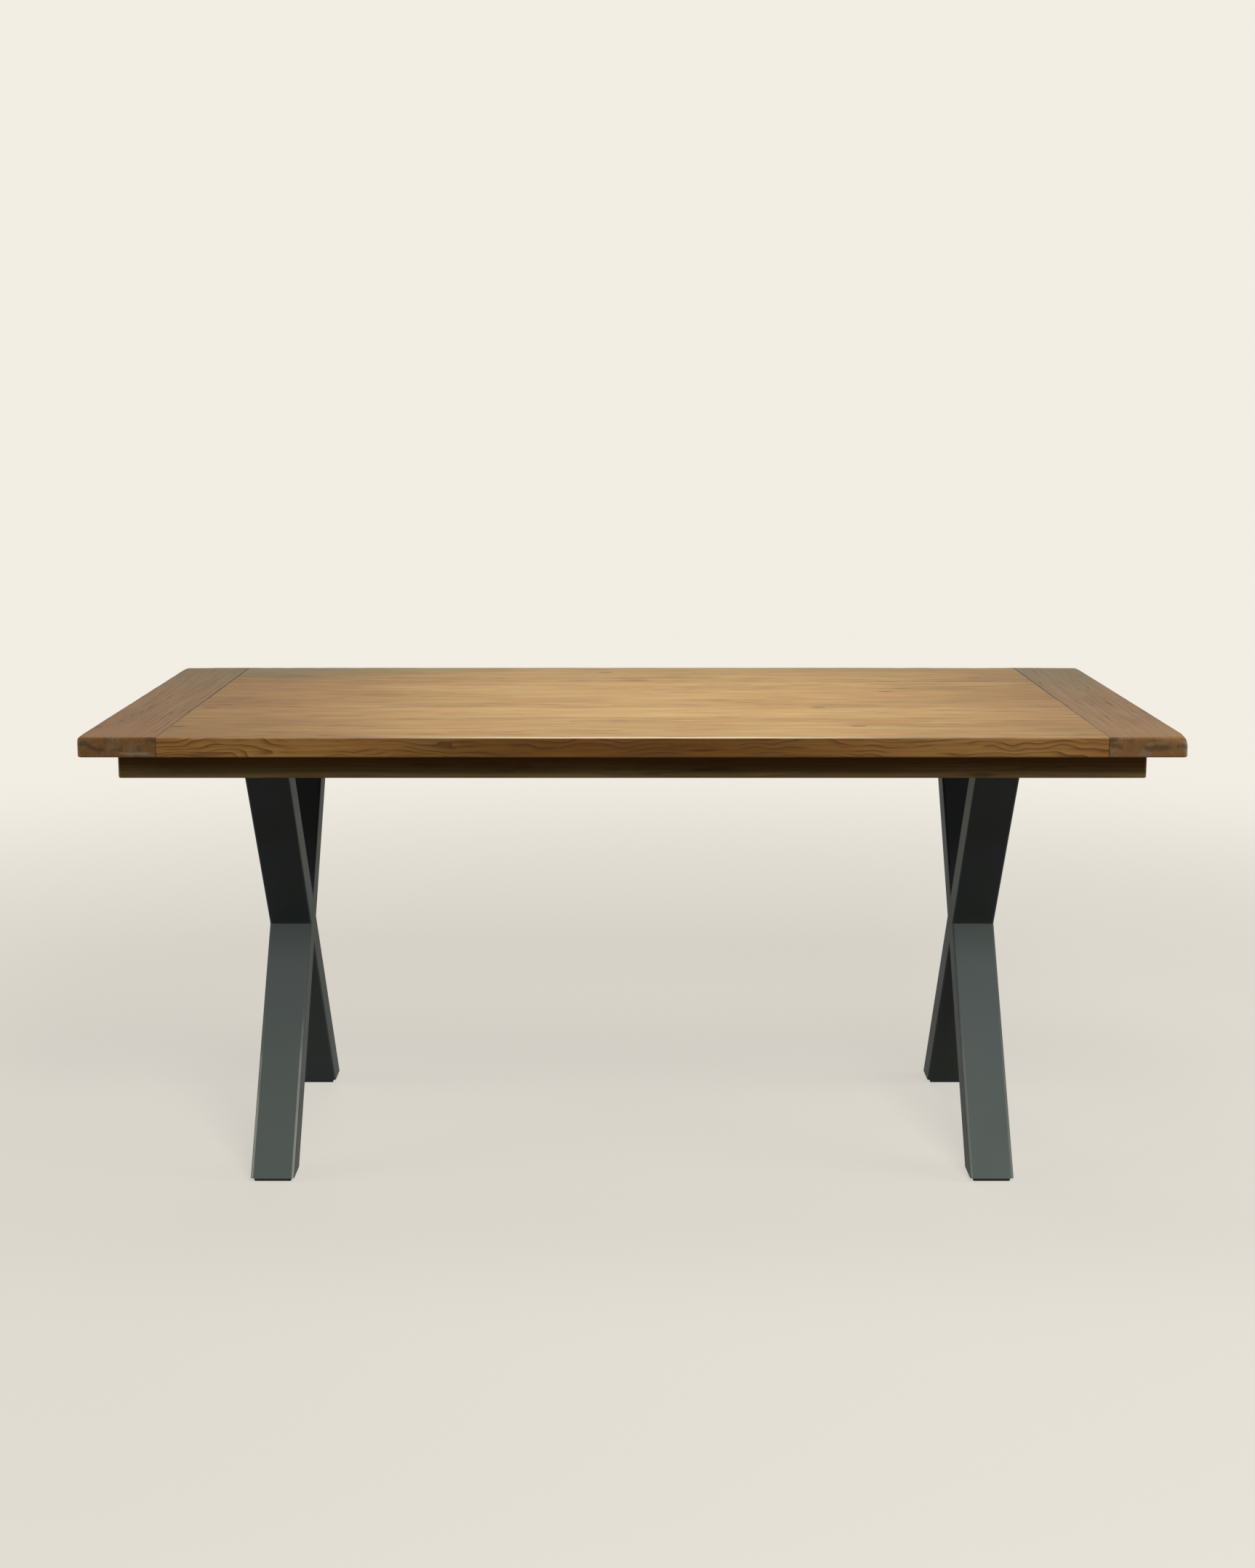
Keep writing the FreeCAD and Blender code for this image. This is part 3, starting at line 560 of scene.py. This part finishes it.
def powder_coat(name):
    """Fine-textured powder coat, slightly clouded, dusty near the floor, with painted shade under the
    top, painted light on the upper sides and painted highlights on edges near the floor.
    """
    finish, start = new_finish(name)
    place = start.node("ShaderNodeTexCoord", output="Object")
    clouds = start.node("ShaderNodeTexNoise", {}, {"Vector": place, "Scale": 9.0, "Detail": 3.0})
    grains = start.node("ShaderNodeTexNoise", {}, {"Vector": place, "Scale": 1100.0, "Detail": 1.0})
    color = mixed(ease(clouds, 0.35, 0.65), graphite_blue, graphite_green)
    along = start.node("ShaderNodeSeparateXYZ", {}, {"Vector": place}, "X")
    rise = along.other("Z")
    facing = start.node("ShaderNodeNewGeometry", output="Normal")
    upward = start.node("ShaderNodeSeparateXYZ", {}, {"Vector": facing}, "Z")
    settled = ease(upward + (clouds - 0.5) * 0.3, 0.1, 0.6) * (1.0 - ease(rise, *dust_thins))
    # Painted shade: the coat is painted near black on upward faces under the top and on downward faces
    # at mid-height
    upper_side = ease(rise, *painted_shade_above) * ease(upward, 0.2, 0.6)
    under_side = ease(-upward, 0.2, 0.6) * ease(rise, *shade_low) * (1.0 - ease(rise, *shade_high))
    color = mixed(0.75 * upper_side + 0.6 * under_side, color, coat_painted_shade)
    # Painted light: the side faces of the tubes are painted lighter above the crossing, where the top
    # shades them
    sideways = ease(abs(upward.other("X")), 0.7, 0.95)
    color = mixed(sideways * ease(rise, *painted_light_above), color, side_painted_light, "MULTIPLY")
    color = mixed(settled * 0.8, color, settled_dust)
    dust = 1.0 - ease(rise + (clouds - 0.5) * 0.2, 0.0, floor_dust_height)
    color = mixed(dust * (0.25 + 0.5 * settled), color, floor_dust)
    # Rubbed coat and a painted highlight: upward-facing rounded edges near the floor are painted paler,
    # more on the left trestle
    out = abs(abs(along) - trestle_at) - leg_half_width
    past_flat = ease(out, -1.4 * leg_round, -1.0 * leg_round)
    on_round = past_flat * (1.0 - ease(out, -0.35 * leg_round, -0.1 * leg_round))
    near_floor = 1.0 - ease(rise + (clouds - 0.5) * 0.3, *rub_and_highlight_heights)
    rubbed_and_highlight = on_round * ease(upward, 0.05, 0.3) * near_floor
    on_left = 1.0 - ease(along, -0.1, 0.1)
    color = mixed(rubbed_and_highlight * (0.25 + 0.5 * on_left), color, rubbed_coat_and_highlight)
    bump = start.node("ShaderNodeBump", {}, {"Strength": 0.12, "Distance": 0.0003, "Height": grains})
    shine = {"IOR": 1.5, "Specular_IOR_Level": 0.1}
    close(start, Base_Color=color, Roughness=0.46 + 0.16 * clouds + 0.08 * grains, Normal=bump, **shine)
    return finish


graphite = powder_coat("graphite_powder_coat")
steel_ends = ("_leg", "_plate")
dress(graphite, [name for name in nodes if name.startswith("trestle_") and name.endswith(steel_ends)])

# Welds
# A rippled bead of weld runs round the top of each leg, under the plate that it holds.
# It is coated with the trestle.
bead_radius = 0.0028
bead_step = 0.0032
bead_ripple = 0.14
bead_corner_steps = 4
plate_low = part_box("trestle_left_top_plate")[0]


def weld_bead(name, leg):
    """A rippled bead along the outline where a leg meets its plate."""
    tops = [vert.co for vert in nodes[leg].data.vertices if abs(vert.co.z - plate_low.z) < touch]
    low = Vector((min(top.x for top in tops), min(top.y for top in tops), plate_low.z))
    high = Vector((max(top.x for top in tops), max(top.y for top in tops), plate_low.z))
    outline = bmesh.new()
    bmesh.ops.create_grid(outline, x_segments=1, y_segments=1, size=0.5)
    bmesh.ops.scale(outline, verts=outline.verts, vec=(high.x - low.x, high.y - low.y, 1.0))
    bmesh.ops.translate(outline, verts=outline.verts, vec=(low + high) / 2)
    cut = {"affect": "VERTICES", "segments": bead_corner_steps, "profile": 0.5, "material": -1}
    bmesh.ops.bevel(outline, geom=outline.verts[:], offset=leg_round, **cut)
    for edge in outline.edges[:]:
        cuts = int(edge.calc_length() / bead_step)
        bmesh.ops.subdivide_edges(outline, edges=[edge], cuts=cuts)
    outline.faces.ensure_lookup_table()
    run = [vert.co.copy() for vert in outline.faces[0].verts]
    outline.free()
    path = bpy.data.curves.new(name, "CURVE")
    path.dimensions = "3D"
    path.bevel_depth = bead_radius
    path.bevel_resolution = 3
    spline = path.splines.new("POLY")
    spline.points.add(len(run) - 1)
    spline.use_cyclic_u = True
    for index, (point, place) in enumerate(zip(spline.points, run)):
        point.co = (*place, 1.0)
        point.radius = 1.0 + bead_ripple * (-1) ** index
    wire = bpy.data.objects.new(name, path)
    shape = bmesh.new()
    shape.from_mesh(bpy.data.meshes.new_from_object(wire))
    bpy.data.objects.remove(wire)
    bmesh.ops.remove_doubles(shape, verts=shape.verts, dist=touch)
    bmesh.ops.recalc_face_normals(shape, faces=shape.faces)
    soften(new_piece(name, shape, graphite), math.pi)


for side in ("left", "right"):
    for leg in ("through_leg", "upper_half_leg"):
        weld_bead(f"weld_{side}_{leg}", f"trestle_{side}_{leg}")

# Bolts, inserts and screws
# Zinc-plated steel: hexagon bolts through the plates into threaded inserts in the boards,
# and pan-head screws with a cross recess through the buttons.
bolt_head_radius = 0.0075
bolt_head_chamfer = 0.0016
bolt_radius = 0.004
screw_head_radius = 0.0046
screw_head_round = 0.0017
screw_radius = 0.0022
recess_half_width = 0.0005
recess_reach = 0.0023
recess_depth = 0.0016
bolt_sharp_angle = math.radians(25.0)
screw_sharp_angle = math.radians(35.0)
dull_zinc = (0.48, 0.48, 0.46)
bright_zinc = (0.68, 0.68, 0.66)


def zinc(name):
    """Zinc plating with its faint spangle."""
    finish, start = new_finish(name)
    place = start.node("ShaderNodeTexCoord", output="Object")
    spangle = start.node("ShaderNodeTexNoise", {}, {"Vector": place, "Scale": 260.0, "Detail": 2.0})
    color = mixed(spangle, dull_zinc, bright_zinc)
    close(start, Base_Color=color, Metallic=1.0, Roughness=0.25 + 0.3 * spangle)
    return finish


def rod(shape, sides, radius, low, high):
    """A closed upright rod about the origin."""
    middle = Matrix.Translation((0.0, 0.0, (low + high) / 2)) @ Matrix.Rotation(math.pi / 2, 4, "Z")
    sizes = {"radius1": radius, "radius2": radius, "depth": high - low}
    return bmesh.ops.create_cone(shape, cap_ends=True, segments=sides, matrix=middle, **sizes)["verts"]


def bolt(low, seat, high):
    """A hexagon bolt with chamfered corners."""
    shape = bmesh.new()
    head = rod(shape, 6, bolt_head_radius, low, seat)
    corners = [vert for vert in head if vert.co.z < (low + seat) / 2]
    cut = {"affect": "VERTICES", "segments": 1, "profile": 0.5, "material": -1}
    bmesh.ops.bevel(shape, geom=corners, offset=bolt_head_chamfer, **cut)
    rod(shape, 32, bolt_radius, seat, high)
    return shape


def screw(low, seat, high):
    """A pan-head screw with a cross recess."""
    shape = bmesh.new()
    rod(shape, 24, screw_head_radius, low, seat)
    rim = [edge for edge in shape.edges if all(vert.co.z < (low + seat) / 2 for vert in edge.verts)]
    cut = {"affect": "EDGES", "segments": 5, "profile": 0.5, "material": -1}
    bmesh.ops.bevel(shape, geom=rim, offset=screw_head_round, **cut)
    for way in (Vector((1.0, 0.0, 0.0)), Vector((0.0, 1.0, 0.0))):
        for place in (-recess_reach, -recess_half_width, recess_half_width, recess_reach):
            cap = [face for face in shape.faces if face.calc_center_median().z < low + touch]
            geom = cap + list({item for face in cap for item in (*face.edges, *face.verts)})
            bmesh.ops.bisect_plane(shape, geom=geom, dist=touch, plane_co=way * place, plane_no=way)
    recess = []
    for face in shape.faces:
        middle = face.calc_center_median()
        narrow, wide = sorted((abs(middle.x), abs(middle.y)))
        if middle.z < low + touch and narrow < recess_half_width and wide < recess_reach:
            recess.append(face)
    sunk = bmesh.ops.extrude_face_region(shape, geom=recess)["geom"]
    bmesh.ops.delete(shape, geom=recess, context="FACES_ONLY")
    floor_verts = [item for item in sunk if isinstance(item, bmesh.types.BMVert)]
    bmesh.ops.translate(shape, verts=floor_verts, vec=(0.0, 0.0, recess_depth))
    rod(shape, 16, screw_radius, seat, high)
    return shape


def set_out(shape, places):
    """Put a modelled shape at the first place and copies of it at the others."""
    whole = shape.verts[:] + shape.edges[:] + shape.faces[:]
    for place in places[1:]:
        copied = bmesh.ops.duplicate(shape, geom=whole)["geom"]
        verts = [item for item in copied if isinstance(item, bmesh.types.BMVert)]
        bmesh.ops.translate(shape, verts=verts, vec=place)
    verts = [item for item in whole if isinstance(item, bmesh.types.BMVert)]
    bmesh.ops.translate(shape, verts=verts, vec=places[0])
    return shape


def corners_inside(node, margin_x, margin_y):
    """The four corners of a node's box in plan, drawn in by the sizes of what stands there."""
    low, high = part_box(node)
    xs = (low.x + margin_x, high.x - margin_x)
    ys = (low.y + margin_y, high.y - margin_y)
    return [Vector((x, y, 0.0)) for x in xs for y in ys]


plating = zinc("zinc_plating")
dress(plating, [name for name in nodes if name.endswith("_inserts")])
bolt_half_flat = bolt_head_radius * math.cos(math.pi / 6)
for side in ("left", "right"):
    node = f"trestle_{side}_bolts"
    low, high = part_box(node)
    places = corners_inside(node, bolt_head_radius, bolt_half_flat)
    bolts = set_out(bolt(low.z, plate_low.z, high.z), places)
    piece = new_piece(f"hexagon_bolts_{side}", bolts, plating)
    soften(piece, bolt_sharp_angle)
    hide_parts(node)
low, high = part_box("top_button_screws")
button_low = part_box("top_buttons")[0].z
places = corners_inside("top_button_screws", screw_head_radius, screw_head_radius)
screws = set_out(screw(low.z, button_low, high.z), places)
piece = new_piece("pan_head_screws", screws, plating)
soften(piece, screw_sharp_angle)
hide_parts("top_button_screws")

# Feet
# A moulded black pad under each tube keeps the steel off the floor.
# A plug on it sits inside the tube's end and holds it.
black_plastic = (0.014, 0.014, 0.014)
scuffed_plastic = (0.035, 0.033, 0.031)


def moulded(name):
    """Matt black plastic with a fine moulded grain."""
    finish, start = new_finish(name)
    place = start.node("ShaderNodeTexCoord", output="Object")
    grain = start.node("ShaderNodeTexNoise", {}, {"Vector": place, "Scale": 1500.0, "Detail": 1.0})
    scuffs = start.node("ShaderNodeTexNoise", {}, {"Vector": place, "Scale": 120.0, "Detail": 3.0})
    color = mixed(ease(scuffs, 0.5, 0.75), black_plastic, scuffed_plastic)
    bump = start.node("ShaderNodeBump", {}, {"Strength": 0.2, "Distance": 0.0003, "Height": grain})
    close(start, Base_Color=color, Roughness=0.5 + 0.2 * scuffs, Normal=bump)
    return finish


dress(moulded("foot_plastic"), [name for name in nodes if name.startswith("foot_")])

# Studio
# A plain pale floor that fades into a pale backdrop, with soft lamps on all sides.
# The camera stands in front of the table, a little above its top.
backdrop = (0.888, 0.852, 0.77)
floor_paint = (0.80, 0.765, 0.69)
floor_bounce = (0.09, 0.07, 0.055)
ambient = (0.045, 0.045, 0.044)
floor_half = 12.0
glow_share = 0.62
fade_start = 1.2
fade_end = 4.5


def seen_directly(shade):
    """1 for rays from the camera and for mirrored or clear ones, 0 for scattered light."""
    rays = shade.node("ShaderNodeLightPath", output="Is Camera Ray")
    mirrored = shade.maths("MAXIMUM", rays.other("Is Glossy Ray"), rays.other("Is Transmission Ray"))
    return shade.maths("MAXIMUM", rays, mirrored)


shape = bmesh.new()
bmesh.ops.create_grid(shape, x_segments=1, y_segments=1, size=floor_half)
floor_mesh = bpy.data.meshes.new("floor")
shape.to_mesh(floor_mesh)
shape.free()
floor = bpy.data.objects.new("floor", floor_mesh)
bpy.context.scene.collection.objects.link(floor)
floor_finish, start = new_finish("floor_paint")
place = start.node("ShaderNodeTexCoord", output="Object")
distance = start.node("ShaderNodeVectorMath", {"operation": "LENGTH"}, {0: place}, "Value")
seen = seen_directly(start)
paint = start.node("ShaderNodeBsdfDiffuse", {}, {"Color": mixed(seen, floor_bounce, floor_paint)})
glow = start.node("ShaderNodeEmission", {}, {"Color": (*backdrop, 1.0), "Strength": 1.0})
fade = seen * (glow_share + (1.0 - glow_share) * ease(distance, fade_start, fade_end))
upper = start.node("ShaderNodeMixShader", {}, {0: fade, 1: paint, 2: glow})
seen_by_camera = start.node("ShaderNodeLightPath", output="Is Camera Ray")
below = start.node("ShaderNodeNewGeometry", output="Backfacing") * seen_by_camera
clear = start.node("ShaderNodeBsdfTransparent")
surface = start.node("ShaderNodeMixShader", {}, {0: below, 1: upper, 2: clear})
start.node("ShaderNodeOutputMaterial", {}, {"Surface": surface})
floor_mesh.materials.append(floor_finish)

world = bpy.data.worlds.new("studio")
bpy.context.scene.world = world
world.use_nodes = True
world.node_tree.nodes.clear()
start = Shade(world.node_tree)
sky = start.node("ShaderNodeBackground", {}, {"Color": mixed(seen_directly(start), ambient, backdrop)})
start.node("ShaderNodeOutputWorld", {}, {"Surface": sky})


def softbox(name, place, target, size, power, color=(1.0, 1.0, 1.0)):
    """A rectangular lamp turned towards a place."""
    lamp = bpy.data.lights.new(name, "AREA")
    lamp.shape = "RECTANGLE"
    lamp.size, lamp.size_y = size
    lamp.energy = power
    lamp.color = color
    stand = bpy.data.objects.new(name, lamp)
    stand.location = place
    stand.rotation_euler = (Vector(target) - Vector(place)).to_track_quat("-Z", "Y").to_euler()
    stand.visible_camera = False
    bpy.context.scene.collection.objects.link(stand)
    return stand


warm = (1.0, 0.96, 0.90)
softbox("lamp_above", (0.12, 0.05, 2.175), (0.10, 0.0, top_height), (1.1, 0.7), 11.0, warm)
back_lamp = softbox("lamp_back", (-0.6, 3.4, 3.0), (0.0, 0.0, 0.45), (1.8, 1.2), 26.0)
back_lamp.visible_glossy = False
softbox("lamp_front", (1.0, -3.3, 3.1), (0.0, 0.0, 0.4), (1.6, 1.2), 84.0)
softbox("lamp_right", (3.4, -0.6, 1.0), (0.0, 0.0, 0.45), (1.6, 1.4), 35.0)
softbox("lamp_left", (-3.4, -0.6, 1.0), (0.0, 0.0, 0.45), (1.6, 1.4), 26.0)

frame_height_px = 2156
focal_px = 3181.2
sensor = 36.0
eye = (-0.0081, -4.1745, 1.3606)
look_down = 0.1692
lens = bpy.data.cameras.new("camera")
lens.sensor_width = sensor
lens.lens = focal_px / frame_height_px * sensor
camera = bpy.data.objects.new("camera", lens)
camera.location = eye
camera.rotation_euler = (math.pi / 2 - look_down, 0.0, 0.0)
bpy.context.scene.collection.objects.link(camera)
bpy.context.scene.camera = camera
bpy.context.scene.view_settings.view_transform = "Standard"
